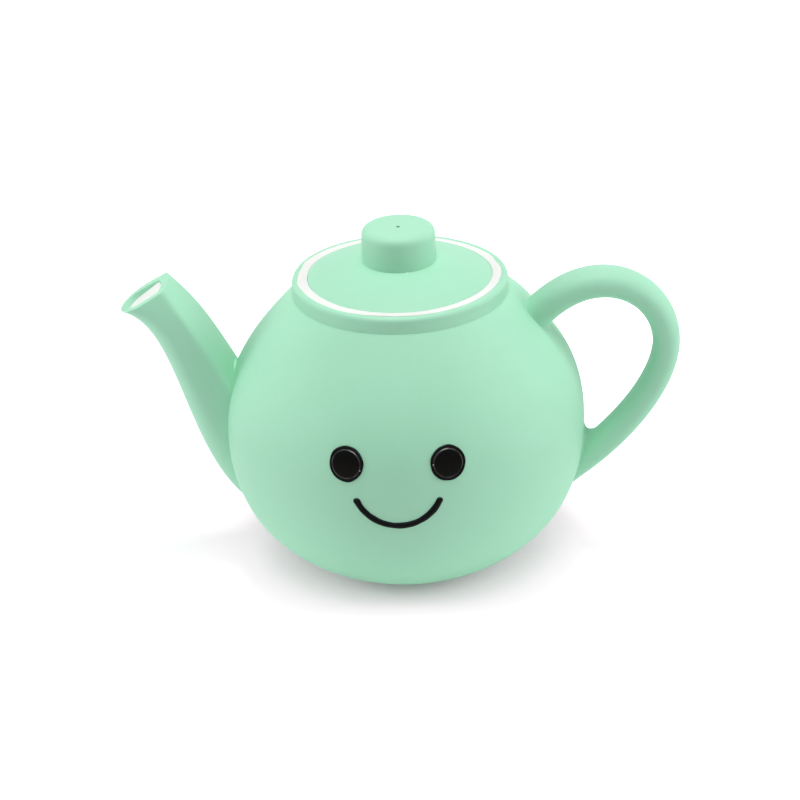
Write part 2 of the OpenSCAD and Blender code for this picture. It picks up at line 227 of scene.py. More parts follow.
@dataclass
class Piece:
    """One visible piece: a grid of points and what it stands for.

    The grid's columns close on themselves. Its rows run from pole to pole, or close as well.
    """

    name: str
    node: str
    body: Body
    slot: Slot
    grid: Array
    rows_close: bool = False

    def faces(self) -> Array:
        """Quads of the grid: (i, j), (i, j+1), (i+1, j+1) and (i+1, j).

        Columns wrap round, and so do rows where they close.

        Returns:
            Rows of four numbers of points.
        """
        rows, cols = self.grid.shape[:2]
        i = np.arange(rows if self.rows_close else rows - 1)[:, None]
        j = np.arange(cols)[None, :]
        down, right = (i + 1) % rows, (j + 1) % cols
        corners = (i * cols + j, i * cols + right, down * cols + right, down * cols + j)
        return np.stack(np.broadcast_arrays(*corners), axis=-1).reshape(-1, 4)

    def make(self, material: bpy.types.Material) -> bpy.types.Object:
        """Makes the mesh, merges its poles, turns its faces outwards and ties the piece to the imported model.

        Faces point outwards where the signed volume that they enclose is above zero.

        Args:
            material: The finish.

        Returns:
            The new object, at the origin with its place in its mesh.
        """
        mesh = bpy.data.meshes.new(self.name)
        mesh.from_pydata((self.grid.reshape(-1, 3) * MM).tolist(), [], self.faces().tolist())
        shape = bmesh.new()
        shape.from_mesh(mesh)
        bmesh.ops.remove_doubles(shape, verts=shape.verts, dist=MERGE_METRES)
        bmesh.ops.recalc_face_normals(shape, faces=shape.faces)
        if shape.calc_volume(signed=True) < 0:
            bmesh.ops.reverse_faces(shape, faces=shape.faces)
        shape.to_mesh(mesh)
        shape.free()
        mesh.polygons.foreach_set("use_smooth", np.ones(len(mesh.polygons), bool))
        mesh.materials.append(material)
        piece = bpy.data.objects.new(self.name, mesh)
        bpy.context.scene.collection.objects.link(piece)
        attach(piece, self.body.value)
        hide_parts(self.node)
        log.info("%s: %d faces, rides on %s", self.name, len(mesh.polygons), self.body.value)
        return piece


# Finishes.


class Wire:
    """A shader socket that takes part in sums; each operator adds a Math node."""

    def __init__(self, graph: Graph, socket: bpy.types.NodeSocket) -> None:
        """Keeps the socket and the graph that it belongs to."""
        self.graph = graph
        self.socket = socket

    def math(self, operation: str, left: Value, right: Value) -> Wire:
        """The result of one Math node."""
        return self.graph.node("ShaderNodeMath", {"operation": operation}, {0: left, 1: right})

    def __add__(self, other: Value) -> Wire:
        """Sum."""
        return self.math("ADD", self, other)

    def __radd__(self, other: Value) -> Wire:
        """Sum, with the number first."""
        return self.math("ADD", other, self)

    def __sub__(self, other: Value) -> Wire:
        """Difference."""
        return self.math("SUBTRACT", self, other)

    def __rsub__(self, other: Value) -> Wire:
        """Difference, with the number first."""
        return self.math("SUBTRACT", other, self)

    def __mul__(self, other: Value) -> Wire:
        """Product."""
        return self.math("MULTIPLY", self, other)

    def __rmul__(self, other: Value) -> Wire:
        """Product, with the number first."""
        return self.math("MULTIPLY", other, self)

    def either(self, other: Value) -> Wire:
        """The larger of two values."""
        return self.math("MAXIMUM", self, other)

    def step(self, low: float, high: float) -> Wire:
        """0 below low, 1 above high and smooth between, or the other way round where low is the larger."""
        return self.graph.node("ShaderNodeMapRange", {"interpolation_type": "SMOOTHSTEP"},
                               {"Value": self, "From Min": low, "From Max": high})

    def centred(self) -> Wire:
        """Noise with its middle at nought."""
        return self - NOISE_MIDDLE


Value = Union[Wire, float]


@dataclass(frozen=True)
class Noise:
    """Smooth noise: lumps to a metre, how many finer layers it has, and how strong they are."""

    per_metre: float
    detail: float
    rough: float


class Graph:
    """A node tree that is written as expressions."""

    def __init__(self, tree: bpy.types.NodeTree) -> None:
        """Empties the tree."""
        self.tree = tree
        tree.nodes.clear()

    def node(self, kind: str, settings: dict[str, object] | None = None,
             inputs: dict[int | str, object] | None = None, output: int | str = 0) -> Wire | None:
        """Adds any node.

        Args:
            kind: The node's type.
            settings: Properties, set first.
            inputs: Values or wires by the sockets' names or numbers.
            output: The name or number of the socket that is handed back.

        Returns:
            The chosen output, or nothing where the node has none.
        """
        node = self.tree.nodes.new(kind)
        for key, value in (settings or {}).items():
            setattr(node, key, value)
        for key, value in (inputs or {}).items():
            socket = node.inputs[key]
            if isinstance(value, Wire):
                self.tree.links.new(value.socket, socket)
            elif isinstance(value, tuple) and socket.type == "RGBA":
                socket.default_value = (*value, 1.0)
            else:
                socket.default_value = value
        return Wire(self, node.outputs[output]) if len(node.outputs) else None

    def mix(self, share: Value, first: Wire | Colour, second: Wire | Colour) -> Wire:
        """A colour between two others."""
        return self.node("ShaderNodeMix", {"data_type": "RGBA"}, {0: share, 6: first, 7: second}, 2)

    def place(self) -> Wire:
        """Where on the piece a point lies, in metres."""
        return self.node("ShaderNodeTexCoord", output="Object")

    def along(self, place: Wire) -> tuple[Wire, Wire, Wire]:
        """The three parts of a place."""
        parts = self.node("ShaderNodeSeparateXYZ", inputs={0: place})
        return tuple(Wire(self, parts.socket.node.outputs[k]) for k in range(3))

    def noise(self, place: Wire, kind: Noise) -> Wire:
        """Smooth noise from 0 to 1."""
        return self.node("ShaderNodeTexNoise", inputs={
            "Vector": place, "Scale": kind.per_metre, "Detail": kind.detail, "Roughness": kind.rough})

    def away(self, place: Wire, point: Point) -> Wire:
        """The distance to a point, in metres."""
        return self.node("ShaderNodeVectorMath", {"operation": "DISTANCE"}, {0: place, 1: point}, "Value")

    def near(self, place: Wire, point: Point, radius: float, soft: float) -> Wire:
        """1 within a radius of a point and 0 past it, with a soft edge; the place in metres, the rest in mm."""
        metres = tuple(v * MM for v in point)
        return self.away(place, metres).step((radius + soft) * MM, (radius - soft) * MM)

    def finish(self, shader: Wire, kind: str = "ShaderNodeOutputMaterial") -> None:
        """Ends the graph in its output."""
        self.node(kind, inputs={"Surface": shader})


@dataclass(frozen=True)
class Finish:
    """What every finish of a piece has: a name, a gloss, and a bump whose depth is in metres."""

    name: str
    roughness: float
    specular: float
    bump_strength: float
    bump_depth: float

    def looks(self, graph: Graph, place: Wire) -> tuple[Wire, Wire, Wire]:
        """The colour, the roughness and the bump's height at a place; each finish has its own."""
        raise NotImplementedError

    def material(self) -> bpy.types.Material:
        """Builds the material.

        Returns:
            The finish, on the piece's own coordinates.
        """
        made = bpy.data.materials.new(self.name)
        made.use_nodes = True
        graph = Graph(made.node_tree)
        colour, rough, height = self.looks(graph, graph.place())
        normal = graph.node("ShaderNodeBump", inputs={
            "Strength": self.bump_strength, "Distance": self.bump_depth, "Height": height})
        graph.finish(graph.node("ShaderNodeBsdfPrincipled", inputs={
            "Base Color": colour, "Roughness": rough, "Normal": normal, "Specular IOR Level": self.specular}))
        return made


@dataclass(frozen=True)
class Speck:
    """A small stray mark on a surface, with its place in millimetres."""

    place: Point
    radius: float
    soft: float
    colour: Colour


@dataclass(frozen=True)
class MintRubber(Finish):
    """Matte rubber that is coloured through: faint clouding, a fine powdery grain and a soft broad sheen."""

    name: str = "mint_rubber_finish"
    roughness: float = 0.55
    specular: float = 0.5
    bump_strength: float = 0.5
    bump_depth: float = 0.00002
    colour: Colour = (0.41, 0.808, 0.574)
    clouded: Colour = (0.425, 0.821, 0.59)
    cloud: Noise = Noise(45.0, 4.0, 0.55)
    cloud_band: Band = (0.3, 0.7)
    cloud_in_gloss: float = 0.05
    grain: Noise = Noise(1400.0, 3.0, 0.6)
    grain_pale: float = 0.12
    grain_in_gloss: float = 0.14
    specks: tuple[Speck, ...] = (Speck((2.5, -9.7, 88.6), 0.27, 0.1, (0.95, 0.96, 0.95)),)

    def looks(self, graph: Graph, place: Wire) -> tuple[Wire, Wire, Wire]:
        """Clouds between two mints, paler where the grain is high, with a stray speck.

        Args:
            graph: The material's nodes.
            place: Where on the piece a point lies.

        Returns:
            The colour, the roughness and the bump's height.
        """
        cloud = graph.noise(place, self.cloud).step(*self.cloud_band)
        grain = graph.noise(place, self.grain)
        colour = graph.mix(cloud, self.colour, self.clouded)
        colour = graph.mix(grain.centred() * self.grain_pale, colour, WHITE)
        for speck in self.specks:
            spot = graph.near(place, speck.place, speck.radius, speck.soft)
            colour = graph.mix(spot, colour, speck.colour)
        rough = self.roughness + cloud.centred() * self.cloud_in_gloss + grain.centred() * self.grain_in_gloss
        return colour, rough, grain


@dataclass(frozen=True)
class WhitePaint(Finish):
    """White rubber paint laid on by brush: slightly uneven, a little of the mint showing where it is thin."""

    name: str = "white_rubber_finish"
    roughness: float = 0.46
    specular: float = 0.5
    bump_strength: float = 0.6
    bump_depth: float = 0.00004
    colour: Colour = (0.92, 0.92, 0.895)
    thin: Colour = (0.82, 0.885, 0.84)
    thin_band: Band = (0.62, 0.86)
    thin_share: float = 0.6
    brush: Noise = Noise(320.0, 4.0, 0.6)
    brush_in_gloss: float = 0.2

    def looks(self, graph: Graph, place: Wire) -> tuple[Wire, Wire, Wire]:
        """White with thin places, all from one noise.

        Args:
            graph: The material's nodes.
            place: Where on the piece a point lies.

        Returns:
            The colour, the roughness and the bump's height.
        """
        brush = graph.noise(place, self.brush)
        colour = graph.mix(brush.step(*self.thin_band) * self.thin_share, self.colour, self.thin)
        return colour, self.roughness + brush.centred() * self.brush_in_gloss, brush


@dataclass(frozen=True)
class PaintedHighlightRing:
    """A fine painted highlight ring, with its middle, radius, brightest place and glint in millimetres."""

    middle: Point
    radius: float
    bright: Point
    glint: Point


@dataclass(frozen=True)
class BlackGloss(Finish):
    """Black gloss paint: almost black and warm, with fine dust, a painted cool sheen on faces that look up
    aslant, and painted highlight rings.
    """

    name: str = "black_gloss_finish"
    roughness: float = 0.26
    specular: float = 0.07
    bump_strength: float = 0.5
    bump_depth: float = 0.00003
    colour: Colour = (0.0036, 0.0032, 0.0025)
    dusty: Colour = (0.007, 0.0066, 0.0066)
    dust: Noise = Noise(2600.0, 2.0, 0.5)
    dust_band: Band = (0.58, 0.85)
    dust_in_gloss: float = 0.08
    flow: Noise = Noise(420.0, 3.0, 0.5)
    flow_in_gloss: float = 0.16
    painted_sheen: Colour = (0.017, 0.024, 0.027)
    painted_sheen_from: Band = (0.2, 0.55)
    painted_sheen_to: Band = (1.0, 0.75)
    rings: tuple[PaintedHighlightRing, ...] = ()
    line_spread: float = 0.035
    ring_highlight_colour: Colour = (0.14, 0.13, 0.125)
    ring_highlight_least: float = 0.15
    ring_highlight_more: float = 0.5
    ring_highlight_band: Band = (0.35, 0.6)
    glint: Colour = (0.6, 0.58, 0.55)
    bright_size: float = 0.9
    bright_share: float = 0.6
    bright_band: Band = (0.25, 0.5)
    glint_r: float = 0.16
    glint_soft: float = 0.1

    def looks(self, graph: Graph, place: Wire) -> tuple[Wire, Wire, Wire]:
        """Black with dust, a painted cool sheen where the surface faces up aslant, and painted highlight rings.

        A ring's painted highlight line is strong where the square of the distance from its radius, in square
        millimetres, is below its spread. It is uneven, brighter about one place, and has one painted glint.

        Args:
            graph: The material's nodes.
            place: Where on the piece a point lies.

        Returns:
            The colour, the roughness and the bump's height.
        """
        dust, flow = graph.noise(place, self.dust), graph.noise(place, self.flow)
        colour = graph.mix(dust.step(*self.dust_band), self.colour, self.dusty)
        _, _, up = graph.along(graph.node("ShaderNodeNewGeometry", output="Normal"))
        # painted sheen: a cool lighter tone on faces that look up aslant, standing in for the top light's
        # highlight
        colour = graph.mix(up.step(*self.painted_sheen_from) * up.step(*self.painted_sheen_to), colour, self.painted_sheen)
        # painted highlights: a grey ring line inside each eye's edge, a brighter arc on it and one glint
        for ring in self.rings:
            off = graph.away(place, tuple(v * MM for v in ring.middle)) - ring.radius * MM
            line = (off * off * (1 / MM**2)).step(self.line_spread, 0.0)
            highlight_share = self.ring_highlight_least + flow.step(*self.ring_highlight_band) * self.ring_highlight_more
            colour = graph.mix(line * highlight_share, colour, self.ring_highlight_colour)
            shine = graph.near(place, ring.bright, self.bright_size, self.bright_size)
            shine = line * (shine * flow.step(*self.bright_band)) * self.bright_share
            spot = graph.near(place, ring.glint, self.glint_r, self.glint_soft)
            colour = graph.mix(shine.either(spot), colour, self.glint)
        rough = self.roughness + flow.centred() * self.flow_in_gloss + dust * self.dust_in_gloss
        return colour, rough, flow


# The pot.


@dataclass
class PotWall:
    """The pot's outline, which everything else stands on: two cubic curves that meet at the widest place."""

    body_d: float = 98.8
    belly_z: float = 42.0
    neck_z: float = 79.6
    foot_d: float = 40.0
    foot_angle: float = 21.0
    shoulder_angle: float = 47.5
    foot_pull: float = 17.2
    belly_pull_low: float = 26.0
    belly_pull_high: float = 15.7
    shoulder_pull: float = 19.2
    wall_t: float = 3.0
    collar_d: float = 58.6
    table_steps: int = 1501
    gap_rounds: int = 3
    root_rows: int = 11
    dives: tuple[tuple[float, float], ...] = ((0.12, 0.1), (0.1, 0.5))
    cap_depth: float = 1.0
    cap_shares: tuple[float, ...] = (0.0, 0.3, 0.6, 0.9)
    table: Array = field(init=False, repr=False)
    ways: Array = field(init=False, repr=False)

    def __post_init__(self) -> None:
        """Lays out the outline as a fine table of radius and height, with its directions."""
        self.table, self.ways = self.trace(self.table_steps)

    def curves(self) -> tuple[list[Array], list[Array]]:
        """The four points of each curve, from the sizes of foot, belly and neck and the pulls there.

        Returns:
            The curve below the widest place, and the one above it.
        """
        foot, belly = np.array([self.foot_d / 2, 0]), np.array([self.body_d / 2, self.belly_z])
        neck, up = np.array([self.collar_d / 2, self.neck_z]), np.array([0, 1])
        low = [foot, foot + polar(self.foot_pull, self.foot_angle), belly - up * self.belly_pull_low, belly]
        shoulder = neck + polar(self.shoulder_pull, -self.shoulder_angle)
        return low, [belly, belly + up * self.belly_pull_high, shoulder, neck]

    def trace(self, steps: int) -> tuple[Array, Array]:
        """Follows both curves from foot to neck.

        Args:
            steps: Places on each curve.

        Returns:
            The radii and heights, and the unit directions there.
        """
        t = ramp(steps)
        low, high = self.curves()
        places = np.vstack([bezier(low, t), bezier(high, t)[1:]])
        return places, np.vstack([bezier_way(low, t), bezier_way(high, t)[1:]])

    def outline(self, steps: int, inwards: float = 0.0) -> Array:
        """Radii and heights from foot to neck, moved square to the wall by a distance inwards."""
        places, ways = self.trace(steps)
        return places - inwards * np.stack([ways[:, 1], -ways[:, 0]], axis=-1)

    def radius(self, z: Array) -> Array:
        """The outside radius at a height."""
        return np.interp(z, self.table[:, 1], self.table[:, 0])

    def tilt(self, z: Array) -> tuple[Array, Array]:
        """The wall's outward direction at a height: its own direction there, turned by a right angle.

        Args:
            z: Heights.

        Returns:
            How far the direction points sideways, and how far up.
        """
        way = [np.interp(z, self.table[:, 1], self.ways[:, k]) for k in (0, 1)]
        size = np.hypot(*way)
        return way[1] / size, -way[0] / size

    def gap(self, points: Array) -> Array:
        """How far points lie outside the wall: the step in radius times the wall's sideways share."""
        level = np.hypot(points[..., 0], points[..., 1])
        return (level - self.radius(points[..., 2])) * self.tilt(points[..., 2])[0]

    def out(self, points: Array) -> Array:
        """The wall's outward direction at points: its sideways part along their radius, and its part upwards.

        Args:
            points: Points near the wall.

        Returns:
            Unit vectors.
        """
        side, up = self.tilt(points[..., 2])
        level = np.hypot(points[..., 0], points[..., 1])
        return np.stack([side * points[..., 0] / level, side * points[..., 1] / level, up], axis=-1)

    def at_gap(self, points: Array, gap: Array | float) -> Array:
        """Moves points square to the wall until they lie at a gap from it.

        Args:
            points: Points near the wall.
            gap: How far outside the wall each one is wanted.

        Returns:
            The moved points.
        """
        for _ in range(self.gap_rounds):
            points = points + self.out(points) * (gap - self.gap(points))[..., None]
        return points

    def on_front(self, x: Array, z: Array) -> Array:
        """Places on the wall's face side at a width and a height."""
        return np.stack(np.broadcast_arrays(x, -np.sqrt(self.radius(z) ** 2 - x**2), z), axis=-1)

    def share_at_gap(self, surface: Surface, angle: Array, gap: Array, inner: float, outer: float) -> Array:
        """Finds the shares along a swept surface's lines that lie at a gap from the wall, by halving.

        Args:
            surface: Gives the points of a share along and an angle round.
            angle: The angle of each line.
            gap: The gap wanted on each line.
            inner: A share that lies inside the wall on every line.
            outer: A share that lies beyond the gap on every line.

        Returns:
            The shares, in the common shape of angle and gap.
        """
        angle, gap = np.broadcast_arrays(angle, gap)
        low, high = np.full(gap.shape, float(inner)), np.full(gap.shape, float(outer))
        for _ in range(HALVINGS):
            middle = (low + high) / 2
            inside = self.gap(surface(middle, angle)) < gap
            low, high = np.where(inside, middle, low), np.where(inside, high, middle)
        return (low + high) / 2

    def root(self, surface: Surface, angle: Array, reach: Array, spread: Array,
             shares: tuple[float, float], sink: float = 0.0) -> tuple[Array, Array]:
        """The flared root of a limb that grows out of the wall.

        With the turn q from 0 to a right angle, a point of the limb at the gap reach (1 - sin q) moves out
        along the wall by spread (1 - cos q), which is an oval fillet that leaves the limb and meets the wall
        without a crease. Its last rows dive under the wall and close there.

        Args:
            surface: The limb's points at a share along and an angle round.
            angle: The angles of its lines.
            reach: How far the fillet climbs the limb on each line.
            spread: How far it runs out along the wall on each line.
            shares: A share inside the wall, and one beyond the fillet.
            sink: How far the fillet's edge lies below the wall.

        Returns:
            The rows from the closed end to the fillet's outer edge, and the share where each line leaves it.
        """
        q = np.radians(ramp(self.root_rows, 90, 0))[:, None]
        gap = reach * (1 - np.sin(q)) - sink
        share = self.share_at_gap(surface, angle[None, :], gap, *shares)
        points = surface(share, np.broadcast_to(angle, share.shape))
        step = SMALL_STEP * np.sign(shares[1] - shares[0])
        along = surface(share + step, np.broadcast_to(angle, share.shape)) - points
        across = surface(share, np.broadcast_to(angle + SMALL_STEP, share.shape)) - points
        middle = points.mean(axis=1, keepdims=True)
        side = np.cross(along, across)
        side *= np.sign((side * (points - middle)).sum(-1, keepdims=True))
        normal = self.out(points)
        away = unit(side - (side * normal).sum(-1, keepdims=True) * normal)
        flared = self.at_gap(points + (spread * (1 - np.cos(q)))[..., None] * away, gap)
        dive = [self.at_gap(flared[:1] + away[:1] * out, -depth - sink) for out, depth in self.dives]
        centre = dive[-1].mean(axis=1, keepdims=True)
        cap = [self.at_gap(centre + (dive[-1] - centre) * s, -self.cap_depth) for s in self.cap_shares]
        return np.concatenate([*cap, *dive[::-1], flared]), share[-1]


@dataclass
class Pot:
    """The round pot with its collar and the white ring round the lid."""

    wall: PotWall = field(default_factory=PotWall)
    collar_h: float = 4.4
    collar_sink: float = 0.4
    rim_cut: float = 1.265
    lip_w: float = 1.9
    lip_keep: float = 0.6
    lip_more: Bump = Bump(0.7, np.pi / 2, 0.8)
    ring_w: float = 2.1
    ring_up: float = 0.07
    ring_tuck: float = 0.3
    ring_crown: float = 0.02
    ring_in_round: float = 0.45
    ring_out_round: float = 0.3
    ring_in_waves: tuple[Wave, ...] = ((0.02, 4, 1.2), (0.015, 11, 0.3), (0.01, 27, 2.0))
    ring_out_waves: tuple[Wave, ...] = ((0.05, 5, 0.4), (0.04, 9, 2.1), (0.025, 23, 1.0), (0.015, 41, 4.0))
    ring_top_waves: tuple[Wave, ...] = ((0.012, 7, 0.8), (0.01, 19, 2.2))
    ring_bumps: tuple[Bump, ...] = (
        Bump(-0.3, 4.7, 0.5), Bump(0.2, 4.25, 0.06), Bump(0.3, 3.35, 0.1), Bump(-0.25, 2.98, 0.06),
        Bump(0.2, 2.8, 0.05), Bump(-0.3, 0.33, 0.05), Bump(0.2, 0.5, 0.07), Bump(0.15, 0.14, 0.05))
    lap_left: float = 0.32
    lap_sharp: float = 1.5
    lap_back: float = 0.06
    seat_drop: float = 2.2
    seat_w: float = 4.0
    throat_cut: float = 0.3
    lean: float = 0.2
    lean_z: float = 60.0
    lean_h: float = 7.0
    swell: Bump = Bump(0.95, 0.35, 0.6)
    swell_z: float = 73.0
    swell_h: float = 4.5
    sag: Bump = Bump(0.6, 1.25, 1.1)
    segments: int = 208
    outer_rows: int = 84
    inner_rows: int = 34
    foot_rows: int = 8
    floor_rows: int = 6
    crown_rows: int = 6

    @property
    def collar_r(self) -> float:
        """Outside radius of the collar."""
        return self.wall.collar_d / 2

    @property
    def ring_out_r(self) -> float:
        """Inside radius of the collar's lip."""
        return self.collar_r - self.lip_w

    @property
    def ring_in_r(self) -> float:
        """Inside radius of the white ring."""
        return self.ring_out_r - self.ring_w

    @property
    def throat_r(self) -> float:
        """Radius of the neck's opening."""
        return self.ring_in_r - self.seat_w

    @property
    def rim_z(self) -> float:
        """Height of the collar's rim."""
        return self.wall.neck_z + self.collar_h

    @property
    def seat_z(self) -> float:
        """Height of the lid's seat."""
        return self.rim_z - self.seat_drop

    def shell(self) -> Piece:
        """The hollow pot: foot, outline, flat top, throat and the same outline inside.

        The soft rubber leans a little to the handle, by a hump of the height times the lean, and swells behind
        the handle's upper root, by a hump of the height times a bump of the angle.

        Returns:
            The piece.
        """
        wall, neck = self.wall, self.wall.neck_z
        outer, inner = wall.outline(self.outer_rows), wall.outline(self.inner_rows, wall.wall_t)[::-1]
        foot_r, floor_r = wall.foot_d / 2 * ramp(self.foot_rows + 1), inner[-1, 0] * ramp(self.floor_rows + 1)
        foot = np.stack([foot_r[:-1], np.zeros(self.foot_rows)], axis=-1)
        top = softened([(self.collar_r, neck, 0), (self.throat_r, neck, self.throat_cut),
                        (self.throat_r, neck - wall.wall_t, 2 * self.throat_cut), (*inner[0], 0)], False)[1:-1]
        floor = np.stack([floor_r[-2::-1], np.full(self.floor_rows, wall.wall_t)], axis=-1)
        grid = revolved(np.vstack([foot, outer, top, inner, floor]), self.segments)
        z, angle = grid[..., 2:], around(self.segments)[None, :, None]
        swell = hump(z, self.swell_z, self.swell_h) * self.swell.at(angle)
        grid[..., :2] += unit(grid[..., :2] + 1e-9) * swell
        grid[..., :1] += self.lean * hump(z, self.lean_z, self.lean_h)
        return Piece("pot_wall", "pot_shell", Body.POT, Slot.MINT, grid)

    def lip(self, angle: Array) -> Array:
        """Inside radius of the collar's lip, which is wider at the back."""
        return self.ring_out_r - self.lip_more.at(angle)

    def sagged(self, grid: Array) -> Array:
        """Lets a turned grid sag at the back of the neck, by a bump of the angle times (r / collar)^2.

        Args:
            grid: Points of a turned piece.

        Returns:
            The points, lower at the back.
        """
        angle, radius = around(grid.shape[1])[None, :], np.hypot(grid[..., 0], grid[..., 1])
        sunk = grid.copy()
        sunk[..., 2] -= self.sag.at(angle) * (radius / self.collar_r) ** 2
        return sunk

    def collar(self) -> Piece:
        """The collar: a ring with a rounded rim, a groove for the white ring and the lid's seat.

        The inside of its lip moves with the lip's own radius, and the outside and the seat stay.

        Returns:
            The piece.
        """
        base = self.wall.neck_z - self.collar_sink
        profile = softened([
            (self.throat_r, base, 0), (self.collar_r, base, 0), (self.collar_r, self.rim_z, self.rim_cut),
            (self.ring_out_r, self.rim_z, 0.12), (self.ring_out_r, self.seat_z, 0.1),
            (self.throat_r, self.seat_z, 0.25)], True, bend=9, run=8)
        angle, level = around(self.segments)[None, :], profile[:, :1]
        inside = np.clip((self.collar_r - self.lip_keep - level) / (self.lip_w - self.lip_keep), 0, 1)
        inside = inside * np.clip((level - self.ring_in_r) / self.ring_w, 0, 1)
        inside = inside * (profile[:, 1:] > base + 1)
        radius = level + inside * (self.lip(angle) - self.ring_out_r)
        height = np.broadcast_to(profile[:, 1:], radius.shape)
        grid = revolved(np.stack([radius, height], axis=-1), self.segments)
        return Piece("neck_rim", "neck_collar", Body.POT, Slot.MINT, self.sagged(grid), True)

    def ring(self) -> Piece:
        """The white ring: painted by hand, so its edges wander and it laps over the rim at back and left.

        The lap is its left part times ((1 - cos a) / 2)^sharp, plus its back part times sin a. Waves and bumps
        are added to the edges. The rows go up the inner edge, over the crown and down the outer edge into the
        groove.

        Returns:
            The piece.
        """
        angle = around(self.segments * 2)
        lap = self.lap_left * ((1 - np.cos(angle)) / 2) ** self.lap_sharp + self.lap_back * np.sin(angle)
        outer = self.lip(angle) + lap + wobble(angle, self.ring_out_waves)
        outer = outer + sum(bump.at(angle) for bump in self.ring_bumps)
        inner = self.ring_in_r - self.ring_tuck + wobble(angle, self.ring_in_waves)
        top = self.rim_z + self.ring_up + wobble(angle, self.ring_top_waves)
        rim, seat = np.full_like(angle, self.rim_z), np.full_like(angle, self.seat_z)
        groove, start, end = self.lip(angle) - 0.05, inner + self.ring_in_round, outer - self.ring_out_round
        crown = [(start + (end - start) * s, top + self.ring_crown * np.sin(np.pi * s))
                 for s in ramp(self.crown_rows + 2)[1:-1]]
        rows = [(inner, seat), (inner, rim - 0.35), (inner + 0.02, rim - 0.1), (inner + 0.08, top - 0.05),
                (inner + 0.2, top - 0.01), (start, top), *crown, (end, top), (outer - 0.12, top - 0.015),
                (outer - 0.03, top - 0.05), (outer, rim - 0.01), (outer - 0.05, rim - 0.05),
                (groove, rim - 0.06), (groove, seat)]
        grid = revolved(np.array(rows).transpose(0, 2, 1), self.segments * 2)
        return Piece("white_ring", "seal_ring", Body.POT, Slot.WHITE, self.sagged(grid), True)

    def pieces(self) -> list[Piece]:
        """All pieces of the pot."""
        return [self.shell(), self.collar(), self.ring()]


# The spout.


